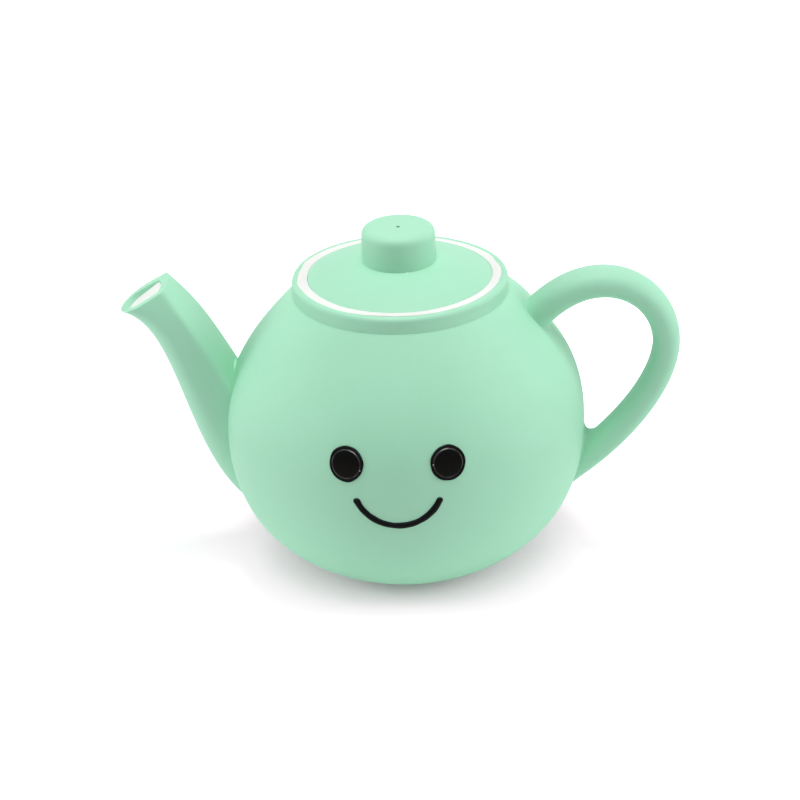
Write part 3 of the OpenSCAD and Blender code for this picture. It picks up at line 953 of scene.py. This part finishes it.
@dataclass
class Spout:
    """The tapering spout with its closed mouth: round below, and flatter above between two ridges."""

    wall: PotWall
    spout_reach: float = 27.25
    lip_drop: float = 4.4
    mouth_l: float = 15.65
    mouth_angle: float = 31.3
    mouth_w: float = 15.1
    waist_w: float = 24.8
    root_w: float = 22.8
    ridge: float = 0.09
    ridge_at: float = 45.0
    ridge_w: float = 12.0
    root_below: float = 25.7
    root_above: float = 13.6
    low_out: float = 0.9
    top_in: float = 1.4
    low_pull: float = 23.8
    low_angle: float = 40.4
    lip_pull: float = 16.7
    lip_angle: float = 11.0
    top_pull: float = 20.0
    top_angle: float = 63.1
    heel_pull: float = 10.0
    heel_angle: float = 54.7
    spout_wall: float = 2.4
    mouth_wall: float = 1.6
    hollow_from: float = 0.35
    lip_thin: float = 0.7
    face_thick: float = 0.55
    far_thick: float = 0.65
    top_thick: float = 0.3
    corner_thick: Bump = Bump(0.35, 0.75, 0.5)
    slope: float = 12.0
    top_slope: float = 1.1
    rim_round: float = 0.3
    rim_run: float = 60.0
    rim_drop: float = 0.45
    floor_depth: float = 1.55
    floor_climb: Bump = Bump(0.75, 0.6, 0.9)
    floor_t: float = 0.8
    floor_lap: float = 0.05
    floor_dish: float = 0.22
    hollow_past: float = 1.2
    fillet_even: float = 0.1
    fillet_below: float = 0.6
    web: Bump = Bump(1.3, 0.15, 0.3)
    root_shares: tuple[float, float] = (-0.2, 0.75)
    root_sink: float = 0.25
    sides: int = 160
    skin_rows: int = 77

    def edges(self) -> tuple[list[Array], list[Array]]:
        """The curves of the lower and the upper edge, as X and Z from root to mouth.

        Returns:
            The four points of the lower curve, and those of the upper one.
        """
        wall = self.wall
        lip = np.array([-(wall.body_d / 2 + self.spout_reach), wall.neck_z - self.lip_drop])
        heel = lip + polar(self.mouth_l, self.mouth_angle)
        low_z, top_z = wall.belly_z - self.root_below, wall.belly_z + self.root_above
        low = np.array([-(wall.radius(low_z) + self.low_out), low_z])
        top = np.array([-(wall.radius(top_z) - self.top_in), top_z])
        lower = [low, low + polar(self.low_pull, 180 - self.low_angle),
                 lip + polar(self.lip_pull, -self.lip_angle), lip]
        upper = [top, top + polar(self.top_pull, 180 - self.top_angle),
                 heel + polar(self.heel_pull, -self.heel_angle), heel]
        return lower, upper

    def bulge(self, angle: Array) -> Array:
        """How far a section stands out of its oval: not at all below, and above by two soft corners.

        With c and s the cosine and sine, it is (c^3 + s^3)^(-1/3) above, which flattens the top and the sides,
        times one plus a bump at each ridge.

        Args:
            angle: Places round the section, 0 on the upper edge.

        Returns:
            Factors of the oval's radius.
        """
        c, s = np.cos(angle), np.abs(np.sin(angle))
        corner = sum(Bump(self.ridge, side * np.radians(self.ridge_at), np.radians(self.ridge_w)).at(angle)
                     for side in (1, -1))
        return np.where(c > 0, (np.abs(c) ** 3 + s**3) ** (-1 / 3) * (1 + corner), 1.0)

    def section(self, share: Array, angle: Array, thin: Array | float = 0.0) -> Array:
        """Points of the sections: the middle of the two edges, plus half their span times the angle's cosine.

        The half width across, times the angle's sine, is a quadratic blend of the root's, waist's and mouth's.

        Args:
            share: Places along the spout, 0 at the root and 1 at the mouth.
            angle: Places round it, 0 on the upper edge.
            thin: How far the section lies inside the outer one.

        Returns:
            Points in space.
        """
        lower, upper = (bezier(edge, share) for edge in self.edges())
        half = (upper - lower) / 2
        span = half - np.asarray(thin)[..., None] * unit(half)
        width = blend(self.root_w, self.waist_w, self.mouth_w, share) / 2
        middle = (upper + lower) / 2
        bulge = self.bulge(angle)
        level = middle + span * (bulge * np.cos(angle))[..., None]
        return np.stack([level[..., 0], (width - thin) * bulge * np.sin(angle), level[..., 1]], axis=-1)

    def inset(self, share: Array, angle: Array) -> Array:
        """Wall thickness: it thins to mouth and lip, grows on the other sides and slopes in at the far top.

        The parts of the turn are weighted: the lip by ((1 - cos) / 2)^4, the face's and the far side by the
        sine's square, and the top by the cosine's cube.

        Args:
            share: Places along the spout.
            angle: Places round it.

        Returns:
            How far the inner wall lies inside the outer one.
        """
        into = (share - self.hollow_from) / (1 - self.hollow_from)
        even = self.spout_wall + (self.mouth_wall - self.spout_wall) * into
        lip, face = ((1 - np.cos(angle)) / 2) ** 4, np.clip(-np.sin(angle), 0, 1) ** 2
        far, top = np.clip(np.sin(angle), 0, 1) ** 2, np.clip(np.cos(angle), 0, 1) ** 3
        thin = even * (1 - self.lip_thin * lip + self.face_thick * face + self.far_thick * far
                       + self.top_thick * top + self.corner_thick.at(angle))
        return thin + self.slope * (1 - share) * (far + self.top_slope * top)

    def depth_share(self, depth: Array | float) -> Array:
        """Finds sections by depth, measured square to the mouth.

        Args:
            depth: How deep below the mouth a section's middle lies.

        Returns:
            The shares along the spout.
        """
        share = ramp(801, 0.5, 1.0)
        lower, upper = (bezier(edge, share) for edge in self.edges())
        middle = (lower + upper) / 2
        below = (middle[-1] - middle) @ polar(1, self.mouth_angle + 90)
        return np.interp(-np.asarray(depth), -below, share)

    def fillet(self, angle: Array) -> Array:
        """The root's fillet: even, larger below by ((1 - cos) / 2)^3, and with a web at the top."""
        below = (1 - np.cos(angle)) / 2
        return self.fillet_even + self.fillet_below * below**3 + self.web.at(angle)

    def skin(self) -> Piece:
        """The spout's skin: flared root, outside, rounded rim, and the inner wall down past the white floor.

        Both turns of the rim are quadratic blends round the rim's outer and inner edge.

        Returns:
            The piece.
        """
        angle = around(self.sides)
        fillet, ones = self.fillet(angle), np.ones_like(angle)
        root, leave = self.wall.root(self.section, angle, fillet, fillet, self.root_shares, self.root_sink)
        end = 1 - self.rim_round / self.rim_run
        s = ramp(self.skin_rows + 1)[1:, None]
        outside = self.section(leave + (end - leave) * s, ones * angle)
        outer, inner = self.section(ones, angle), self.section(ones, angle, self.inset(ones, angle))
        inwards = unit(inner - outer)
        t = ramp(8)[:, None, None]
        outer_turn = blend(outside[-1], outer, outer + inwards * self.rim_round, t)[1:]
        start, deep = self.depth_share(self.rim_drop), self.depth_share(self.floor_depth + self.hollow_past)
        first = self.section(start * ones, angle, self.inset(start * ones, angle))
        inner_turn = blend(inner - inwards * self.rim_round, inner, first, t)
        fall = start + (deep - start) * ramp(10)[1:, None] * ones
        hollow = self.section(fall, ones * angle, self.inset(fall, angle))
        middle = hollow[-1:].mean(axis=1, keepdims=True)
        cap = middle + (hollow[-1:] - middle) * np.array([0.5, 0.0])[:, None, None]
        grid = np.concatenate([root, outside, outer_turn, inner_turn, hollow, cap])
        return Piece("spout_skin", "spout", Body.POT, Slot.MINT, grid)

    def floor(self) -> Piece:
        """The white floor of the mouth: a faintly dished disc whose edge climbs the wall, most at the far top.

        The dish rises with the eighth power of the share from its middle to its edge.

        Returns:
            The piece.
        """
        angle = around(self.sides)
        share = self.depth_share(self.floor_depth - self.floor_climb.at(angle))
        below = self.depth_share(self.floor_depth + self.floor_t) * np.ones_like(angle)
        top = self.section(share, angle, self.inset(share, angle) - self.floor_lap)
        under = self.section(below, angle, self.inset(below, angle) - self.floor_lap)
        out_x, out_z = polar(1, self.mouth_angle + 90)
        middle, centre = top.mean(axis=0), under.mean(axis=0)
        r = ramp(14)[:, None, None]
        face = middle + (top - middle) * r + np.array([out_x, 0, out_z]) * self.floor_dish * r**8
        back = centre + (under - centre) * np.array([1.0, 0.5, 0.0])[:, None, None]
        return Piece("spout_floor", "spout_plug", Body.POT, Slot.WHITE, np.concatenate([face, back]))

    def pieces(self) -> list[Piece]:
        """All pieces of the spout."""
        return [self.skin(), self.floor()]


# The handle.


@dataclass
class Handle:
    """The loop handle: soft-cornered oval sections along two cubic curves that meet at its outermost place."""

    wall: PotWall
    grip_out: float = 22.55
    grip_drop: float = 16.3
    upper_drop: float = 13.1
    upper_in: float = 8.3
    upper_pull: float = 31.0
    upper_angle: float = 54.3
    lower_drop: float = 15.25
    lower_pull: float = 21.5
    lower_angle: float = 38.2
    bow_pull_high: float = 16.7
    bow_pull_low: float = 8.9
    upper_t: float = 8.95
    middle_t: float = 6.6
    lower_t: float = 7.9
    grip_oval: float = 1.4
    root_oval: float = 1.1
    square: float = 2.3
    carry_on: float = 11.3
    upper_reach: Flare = Flare(0.4, 1.6, Bump(0.8, 2.3, 0.7))
    upper_spread: Flare = Flare(0.4, 2.8, Bump(5.0, 2.3, 0.7))
    upper_shares: tuple[float, float] = (-0.6, 0.75)
    lower_reach: Flare = Flare(0.3, 5.0)
    lower_spread: Flare = Flare(0.3, 6.5)
    lower_shares: tuple[float, float] = (2.6, 1.5)
    sides: int = 72
    grip_rows: int = 148

    def curves(self) -> tuple[list[Array], list[Array]]:
        """The curves of the middle line, as X and Z.

        Returns:
            The four points of the upper curve, and those of the lower one.
        """
        wall, up = self.wall, np.array([0.0, 1.0])
        upper_z, lower_z = wall.neck_z - self.upper_drop, wall.belly_z - self.lower_drop
        upper = np.array([wall.radius(upper_z) - self.upper_in, upper_z])
        lower = np.array([wall.radius(lower_z), lower_z])
        far = np.array([wall.body_d / 2 + self.grip_out, wall.neck_z - self.grip_drop])
        high = [upper, upper + polar(self.upper_pull, self.upper_angle), far + up * self.bow_pull_high, far]
        low = [far, far - up * self.bow_pull_low, lower + polar(self.lower_pull, self.lower_angle), lower]
        return high, low

    def section(self, share: Array, angle: Array) -> Array:
        """Points of sections square to the middle line.

        Shares 0 to 1 lie on the upper curve and 1 to 2 on the lower one; past either end the line runs straight
        on. The thickness is a quadratic blend of the upper, middle and lower ones. A section is an oval that is
        squared a little: its cosine and sine c and s are divided by (|c|^n + |s|^n)^(1/n), which is one for
        n = 2. Across, it narrows towards both roots.

        Args:
            share: Places along the handle.
            angle: Places round it, 0 on the side towards the loop.

        Returns:
            Points in space.
        """
        high, low = self.curves()
        held = np.clip(share, 0, 2)
        first = (held < 1)[..., None]
        upper, lower = np.clip(held, 0, 1), np.clip(held - 1, 0, 1)
        place = np.where(first, bezier(high, upper), bezier(low, lower))
        way = np.where(first, bezier_way(high, upper), bezier_way(low, lower))
        place = place + way * (share - held)[..., None] * self.carry_on
        t = held / 2
        half = blend(self.upper_t, self.middle_t, self.lower_t, t) / 2
        c, s = np.cos(angle), np.sin(angle)
        half = half * (np.abs(c) ** self.square + np.abs(s) ** self.square) ** (-1 / self.square)
        across = self.grip_oval + (self.root_oval - self.grip_oval) * (2 * t - 1) ** 4
        level = place + np.stack([way[..., 1], -way[..., 0]], axis=-1) * (half * c)[..., None]
        return np.stack([level[..., 0], half * across * s, level[..., 1]], axis=-1)

    def grip(self) -> Piece:
        """The whole handle, from the flared upper root to the lower one, with even shares between.

        Returns:
            The piece.
        """
        angle, root = around(self.sides), self.wall.root
        upper, leave = root(self.section, angle, self.upper_reach.at(angle), self.upper_spread.at(angle),
                            self.upper_shares)
        lower, arrive = root(self.section, angle, self.lower_reach.at(angle), self.lower_spread.at(angle),
                             self.lower_shares)
        s = ramp(self.grip_rows + 2)[1:-1, None]
        between = self.section(leave + (arrive - leave) * s, np.ones_like(s) * angle)
        grid = np.concatenate([upper, between, lower[::-1]])
        return Piece("grip", "handle", Body.POT, Slot.MINT, grid)

    def pieces(self) -> list[Piece]:
        """All pieces of the handle."""
        return [self.grip()]


# The face.


@dataclass
class Face:
    """Two round eyes and a smile, raised a little from the wall."""

    wall: PotWall
    eye_d: float = 9.5
    eye_tall: float = 1.06
    eye_spacing: float = 26.8
    eye_up: float = 8.5
    eye_proud: float = 0.35
    eye_dish: float = 0.06
    eye_edge: float = 0.07
    eye_under: float = 0.25
    eye_sinks: tuple[float, float] = (0.6, 1.1)
    eye_sides: int = 96
    left_waves: tuple[Wave, ...] = ((0.012, 3, 0.6), (0.008, 5, 2.0), (0.005, 8, 0.2))
    right_waves: tuple[Wave, ...] = ((0.012, 2, 1.4), (0.007, 5, 0.4), (0.005, 9, 1.2))
    ring_at: float = 0.82
    ring_depth: float = 0.13
    ring_w: float = 0.24
    smile_w: float = 21.8
    smile_h: float = 7.1
    smile_drop: float = 1.8
    smile_t: float = 2.15
    smile_sink: float = 0.5
    smile_waves: tuple[Wave, ...] = ((0.03, 9, 0.3), (0.02, 21, 1.1))
    smile_sides: int = 28
    smile_rows: int = 70
    end_rows: int = 9

    def middle(self, side: int) -> Array:
        """The middle of an eye on the wall: -1 for the left one, 1 for the right one."""
        z = self.wall.belly_z + self.eye_up
        return self.wall.on_front(np.array(side * self.eye_spacing / 2), np.array(z))

    def ring(self, side: int, bright: float, glint: float) -> PaintedHighlightRing:
        """The painted highlight ring of an eye, a circle about the eye's middle.

        Args:
            side: -1 for the left eye, 1 for the right one.
            bright: The angle of its brightest place, in degrees.
            glint: The angle of its glint, in degrees.

        Returns:
            The ring.
        """
        middle = self.middle(side)
        radius = self.eye_d / 2 * self.ring_at

        def spot(degrees: float) -> Point:
            """A place on the ring, as far out as the eye's face.

            Args:
                degrees: The place's angle.

            Returns:
                The place, in millimetres.
            """
            across, up = polar(radius, degrees)
            lifted = self.wall.on_front(middle[0] + across, middle[2] + up)
            return tuple(self.wall.at_gap(lifted, np.array(self.eye_proud)).tolist())

        return PaintedHighlightRing(tuple(middle.tolist()), radius, spot(bright), spot(glint))

    def eye(self, name: str, node: str, side: int, waves: Sequence[Wave]) -> Piece:
        """A flat black disc with a rounded edge, a fine groove inside its edge and a slightly uneven outline.

        Seen square to the wall, a point at the share r of the radius rises by the disc's height, less a hump at
        the groove, and falls away towards the edge as a quarter round. The last two rows go into the wall.

        Args:
            name: The piece's name.
            node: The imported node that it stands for.
            side: -1 for the left eye, 1 for the right one.
            waves: The outline's unevenness.

        Returns:
            The piece.
        """
        wall, radius, middle = self.wall, self.eye_d / 2, self.middle(side)
        out = wall.out(middle)
        across = unit(np.cross(UP, out))
        up = np.cross(out, across)
        angle = around(self.eye_sides)[None, :]
        share = np.concatenate([ramp(16, 0, 0.7), ramp(15, 0.715, 0.9), ramp(9, 0.91, 1.0), [1, 1]])[:, None]
        size = radius * share * (1 + wobble(angle, waves))
        edge = np.sqrt(np.clip(1 - np.clip((share - 1 + self.eye_edge) / self.eye_edge, 0, 1) ** 2, 0, 1))
        groove = self.ring_depth * hump(share * radius, self.ring_at * radius, self.ring_w)
        rise = (self.eye_proud + self.eye_dish * share**2) * edge - self.eye_under * (1 - edge) - groove
        rise[-2:, 0] = -np.array(self.eye_sinks)
        x, y = size * np.cos(angle), size * np.sin(angle) * self.eye_tall
        flat = middle + x[..., None] * across + y[..., None] * up
        face = wall.at_gap(flat, rise + np.zeros_like(angle))
        back = face[-1:].mean(axis=1, keepdims=True) * np.ones_like(face[-1:])
        return Piece(name, node, Body.POT, Slot.BLACK, np.concatenate([face, back]))

    def smile(self) -> Piece:
        """A round black bar along an arc that lies on the wall, with half-round ends.

        The arc's radius comes from its width and drop: ((w / 2)^2 + h^2) / 2h. The bar's radius at the ends is
        the square root of one minus the square of the share into the end.

        Returns:
            The piece.
        """
        wall, bar = self.wall, self.smile_t / 2
        radius = ((self.smile_w / 2) ** 2 + self.smile_h**2) / (2 * self.smile_h)
        half, end = np.arcsin(self.smile_w / 2 / radius), np.arcsin(bar / radius)
        into = np.sin(np.radians(ramp(self.end_rows, 90, 0)))
        between = ramp(self.smile_rows + 2, -half, half)[1:-1]
        arc = np.concatenate([-half - end * into, between, half + end * into[::-1]])
        size = bar * np.sqrt(np.clip(1 - np.clip((np.abs(arc) - half) / end, 0, 1) ** 2, 0, 1))
        size = size * (1 + wobble(arc, self.smile_waves))

        def line(a: Array) -> Array:
            """Places on the wall at angles of the arc."""
            z = wall.belly_z - self.smile_drop - self.smile_h + radius * (1 - np.cos(a))
            return wall.on_front(radius * np.sin(a), z)

        place = line(arc)
        out, way = wall.out(place), unit(line(arc + SMALL_STEP) - line(arc - SMALL_STEP))
        side = np.cross(way, out)
        angle = around(self.smile_sides)[None, :, None]
        ring = np.cos(angle) * out[:, None] + np.sin(angle) * side[:, None]
        grid = (place - self.smile_sink * out)[:, None] + size[:, None, None] * ring
        return Piece("smile_line", "smile", Body.POT, Slot.BLACK, grid)

    def pieces(self) -> list[Piece]:
        """All pieces of the face."""
        return [self.eye("eye_left", "left_eye", -1, self.left_waves),
                self.eye("eye_right", "right_eye", 1, self.right_waves), self.smile()]


# The lid.


@dataclass
class Lid:
    """The domed lid with its skirt, and the knob that is locked in it."""

    pot: Pot
    lid_gap: float = 0.3
    ring_drop: float = 0.1
    edge_up: float = 0.2
    edge_round: float = 0.25
    dome_rise: float = 4.6
    dome_tuck: float = 0.6
    hole_sink: float = 0.1
    lid_wall: float = 2.5
    skirt_h: float = 7.0
    skirt_wall: float = 2.0
    skirt_cut: float = 0.5
    seat_cut: float = 0.15
    knob_d: float = 20.0
    knob_h: float = 9.3
    knob_cut: float = 2.25
    knob_sink: float = 0.3
    knob_draft: float = 0.05
    stem_d: float = 8.0
    flange_d: float = 12.0
    flange_t: float = 1.5
    flange_cut: float = 0.2
    vent_d: float = 1.05
    vent_cut: float = 0.08
    passage_d: float = 2.4
    vent_depth: float = 3.0
    segments: int = 208
    edge_rows: int = 8
    dome_rows: int = 43
    inner_rows: int = 19

    @property
    def edge_z(self) -> float:
        """Height of the lid's edge."""
        return self.pot.rim_z - self.ring_drop + self.edge_up

    @property
    def knob_z(self) -> float:
        """Height at which the knob stands on the dome."""
        return self.edge_z + self.dome_rise

    def dome_height(self, radius: Array | float) -> Array:
        """The dome's height: a sphere through the lid's edge and the knob's foot.

        Args:
            radius: Distances from the axis.

        Returns:
            Heights there.
        """
        edge, knob = self.pot.ring_in_r - self.lid_gap - self.edge_round, self.knob_d / 2
        level = (self.dome_rise + (edge**2 - knob**2) / self.dome_rise) / 2
        ball = np.hypot(knob, level)
        return self.knob_z - np.sqrt(ball**2 - knob**2) + np.sqrt(ball**2 - radius**2)

    def dome(self) -> Piece:
        """The domed lid: skirt, seat, edge as a quarter round, dome and the same dome inside.

        Returns:
            The piece.
        """
        pot, hole, bend = self.pot, self.stem_d / 2, self.edge_round
        lid_r, skirt_r = pot.ring_in_r - self.lid_gap, pot.throat_r - self.lid_gap
        skirt_in, low = skirt_r - self.skirt_wall, pot.seat_z - self.skirt_h
        below = softened([
            (skirt_in, self.dome_height(skirt_in) - self.lid_wall, 0), (skirt_in, low, self.skirt_cut),
            (skirt_r, low, self.skirt_cut), (skirt_r, pot.seat_z, self.seat_cut),
            (lid_r, pot.seat_z, self.seat_cut), (lid_r, self.edge_z - bend, 0)], False)
        turn = np.radians(ramp(self.edge_rows + 1, 0, 90))[1:]
        edge = np.stack([lid_r - bend * (1 - np.cos(turn)), self.edge_z - bend * (1 - np.sin(turn))], axis=-1)
        out = ramp(self.dome_rows + 1, lid_r - bend, self.knob_d / 2 - self.dome_tuck)[1:]
        back = ramp(self.inner_rows + 1, hole, skirt_in)[:-1]
        profile = np.vstack([below, edge, np.stack([out, self.dome_height(out)], axis=-1),
                             [(hole, self.knob_z - self.hole_sink)],
                             np.stack([back, self.dome_height(back) - self.lid_wall], axis=-1)])
        grid = pot.sagged(revolved(profile, self.segments))
        return Piece("lid", "lid_dome", Body.LID, Slot.MINT, grid, True)

    def knob(self) -> Piece:
        """The plain round knob with a soft top edge, its stem and flange, and the air hole through its top.

        Returns:
            The piece.
        """
        knob_r, top, foot = self.knob_d / 2, self.knob_z + self.knob_h, self.knob_z - self.knob_sink
        vent, passage = self.vent_d / 2, self.passage_d / 2
        flange_r, stem_r, flange_z = self.flange_d / 2, self.stem_d / 2, self.knob_z - self.lid_wall
        profile = softened([
            (passage, flange_z - self.flange_t, self.flange_cut),
            (flange_r, flange_z - self.flange_t, 1.5 * self.flange_cut), (flange_r, flange_z, self.flange_cut),
            (stem_r, flange_z, 0), (stem_r, foot, 0), (knob_r - self.knob_draft, foot, 0),
            (knob_r, top, self.knob_cut), (vent, top, self.vent_cut), (vent, top - self.vent_depth, 0),
            (passage, top - self.vent_depth, 0)], True, bend=12, run=12)
        return Piece("knob", "lid_knob", Body.LID, Slot.MINT, revolved(profile, self.segments // 2), True)

    def pieces(self) -> list[Piece]:
        """All pieces of the lid."""
        return [self.dome(), self.knob()]


# The studio.


@dataclass(frozen=True)
class Lamp:
    """A soft square lamp that looks at the pot; sizes in metres. Only a lamp that shines shows in the gloss."""

    name: str
    place: Point
    size: float
    power: float
    shines: bool = False
    aim: Point = (0.0, 0.0, 0.045)

    def add(self) -> None:
        """Puts the lamp into the scene, hidden from the camera."""
        data = bpy.data.lights.new(self.name, "AREA")
        data.shape, data.size, data.energy = "SQUARE", self.size, self.power
        lamp = bpy.data.objects.new(self.name, data)
        lamp.location = self.place
        lamp.rotation_euler = (Vector(self.aim) - lamp.location).to_track_quat("-Z", "Y").to_euler()
        lamp.visible_camera, lamp.visible_glossy = False, self.shines
        bpy.context.scene.collection.objects.link(lamp)


@dataclass
class Studio:
    """The camera at the photograph's angle, the soft lamps, the pale room and the white floor.

    The camera's place is in millimetres, and the floor's sizes are in metres.
    """

    lamps: tuple[Lamp, ...] = (
        Lamp("top_spot", (0.0, 0.0, 1.2), 0.25, 4.6, True),
        Lamp("top_box", (0.0, 0.0, 1.3), 1.2, 1.5),
        Lamp("front_top", (0.0, -0.45, 1.2), 0.6, 3.8),
        Lamp("left_box", (-1.2, -0.12, 0.5), 0.45, 3.7),
        Lamp("left_wide", (-1.2, 0.0, 0.5), 1.2, 4.6),
        Lamp("right_box", (1.2, -0.15, 0.55), 0.45, 2.8),
        Lamp("right_wide", (1.2, 0.0, 0.5), 1.2, 6.0),
        Lamp("front_fill", (0.8, -0.8, 0.9), 0.8, 0.9),
        Lamp("back_box", (0.0, 1.0, 0.9), 0.8, 0.5),
        Lamp("back_low", (0.1, 1.2, 0.25), 0.8, 2.2),
        Lamp("right_rim", (1.0, 0.8, 0.35), 0.6, 0.5),
    )
    sheen: float = 1.25
    sheen_band: Band = (-0.3, 0.6)
    floor_half: float = 4.0
    floor_z: float = -0.0002
    floor_colour: Colour = (0.86, 0.86, 0.86)
    shade_colour: Colour = (0.955, 0.705, 0.835)
    shade_y: float = 0.01
    shade_band: Band = (0.076, 0.042)
    bounce: float = 0.085
    mirror_white: float = 0.3
    foot_white: float = 0.02
    near_white: float = 0.365
    near_band: Band = (0.027, 0.048)
    far_white: float = 0.55
    far_band: Band = (0.06, 0.13)
    camera_place: Point = (45.28, -806.62, 442.73)
    forward: Point = (-0.0517, 0.8962, -0.4407)
    right: Point = (0.9983, 0.0576, 0.0)
    up: Point = (-0.0254, 0.44, 0.8977)
    roll: float = 2.251
    lens: float = 146.91
    sensor_w: float = 36.0
    clip_end: float = 50.0

    def camera(self) -> None:
        """The camera: its axes are the view's right and up, turned by the roll, and back along the view."""
        c, s = np.cos(np.radians(self.roll)), np.sin(np.radians(self.roll))
        right, up = np.array(self.right), np.array(self.up)
        axes = np.stack([right * c - up * s, right * s + up * c, -np.array(self.forward)], axis=1)
        data = bpy.data.cameras.new("camera")
        data.lens, data.sensor_width, data.sensor_fit = self.lens, self.sensor_w, "HORIZONTAL"
        data.clip_end = self.clip_end
        camera = bpy.data.objects.new("camera", data)
        place = Matrix.Translation(Vector(self.camera_place) * MM)
        camera.matrix_world = place @ Matrix(axes.tolist()).to_4x4()
        bpy.context.scene.collection.objects.link(camera)
        bpy.context.scene.camera = camera

    def seen(self, graph: Graph) -> tuple[Wire, Wire]:
        """How a surface is seen.

        Args:
            graph: The nodes of a material or of the room.

        Returns:
            1 for what the camera sees straight, and 1 for what it sees mirrored or through something clear.
        """
        path = graph.node("ShaderNodeLightPath", output="Is Camera Ray")
        outputs = path.socket.node.outputs
        glossy, clear = (Wire(graph, outputs[name]) for name in ("Is Glossy Ray", "Is Transmission Ray"))
        return path, glossy.either(clear)

    def world(self) -> None:
        """A room that shows as plain white, and as a white back wall where it is mirrored."""
        world = bpy.data.worlds.new("room")
        world.use_nodes = True
        graph = Graph(world.node_tree)
        straight, mirrored = self.seen(graph)
        _, back, _ = graph.along(graph.node("ShaderNodeTexCoord", output="Generated"))
        strength = straight + mirrored * back.step(*self.sheen_band) * self.sheen
        shader = graph.node("ShaderNodeBackground", inputs={"Color": WHITE, "Strength": strength})
        graph.finish(shader, "ShaderNodeOutputWorld")
        bpy.context.scene.world = world

    def sheet(self) -> bpy.types.Material:
        """The floor's material: matt, with the shadow kept and its far parts lifted to white where seen. The
        lift is weakest at the foot and grows with distance, which paints the shadow round the pot, and a pink
        tint near the pot paints the mint bounce out of that shadow.

        Returns:
            The material.
        """
        made = bpy.data.materials.new("white_sheet")
        made.use_nodes = True
        graph = Graph(made.node_tree)
        away = graph.away(graph.place(), (0.0, self.shade_y, self.floor_z))
        straight, mirrored = self.seen(graph)
        # painted shadow colour: a pink tint on the floor near the pot, seen by the camera only
        shade = straight * away.step(*self.shade_band)
        matt = graph.node("ShaderNodeBsdfDiffuse", inputs={
            "Color": graph.mix(shade, self.floor_colour, self.shade_colour)})
        # painted shadow: the camera-only lift is weakest near the foot, so the floor round the pot shows darker
        white = (self.foot_white + away.step(*self.near_band) * self.near_white
                 + away.step(*self.far_band) * self.far_white)
        strength = self.bounce + straight * white + mirrored * self.mirror_white
        lift = graph.node("ShaderNodeEmission", inputs={"Color": WHITE, "Strength": strength})
        graph.finish(graph.node("ShaderNodeAddShader", inputs={0: matt, 1: lift}))
        return made

    def floor(self) -> None:
        """The white floor: one square sheet just below the pot's foot."""
        half, z = self.floor_half, self.floor_z
        mesh = bpy.data.meshes.new("floor")
        mesh.from_pydata([(-half, -half, z), (half, -half, z), (half, half, z), (-half, half, z)],
                         [], [(0, 1, 2, 3)])
        mesh.materials.append(self.sheet())
        floor = bpy.data.objects.new("floor", mesh)
        bpy.context.scene.collection.objects.link(floor)

    def build(self) -> None:
        """Sets up the whole studio."""
        self.camera()
        self.world()
        self.floor()
        for lamp in self.lamps:
            lamp.add()
        bpy.context.scene.view_settings.view_transform = "Standard"
        log.info("studio: %d lamps", len(self.lamps))


def main() -> None:
    """Builds the pieces in order, dresses them and sets up the studio."""
    logging.basicConfig(level=logging.INFO, format="%(name)s: %(message)s")
    pot = Pot()
    face = Face(pot.wall)
    finishes = {
        Slot.MINT: MintRubber().material(),
        Slot.WHITE: WhitePaint().material(),
        Slot.BLACK: BlackGloss(rings=(face.ring(-1, 60, -20), face.ring(1, 105, 180))).material(),
    }
    parts = [pot, Spout(pot.wall), Handle(pot.wall), face, Lid(pot)]
    for part in parts:
        for piece in part.pieces():
            piece.make(finishes[piece.slot])
    Studio().build()


if __name__ == "__main__":
    main()
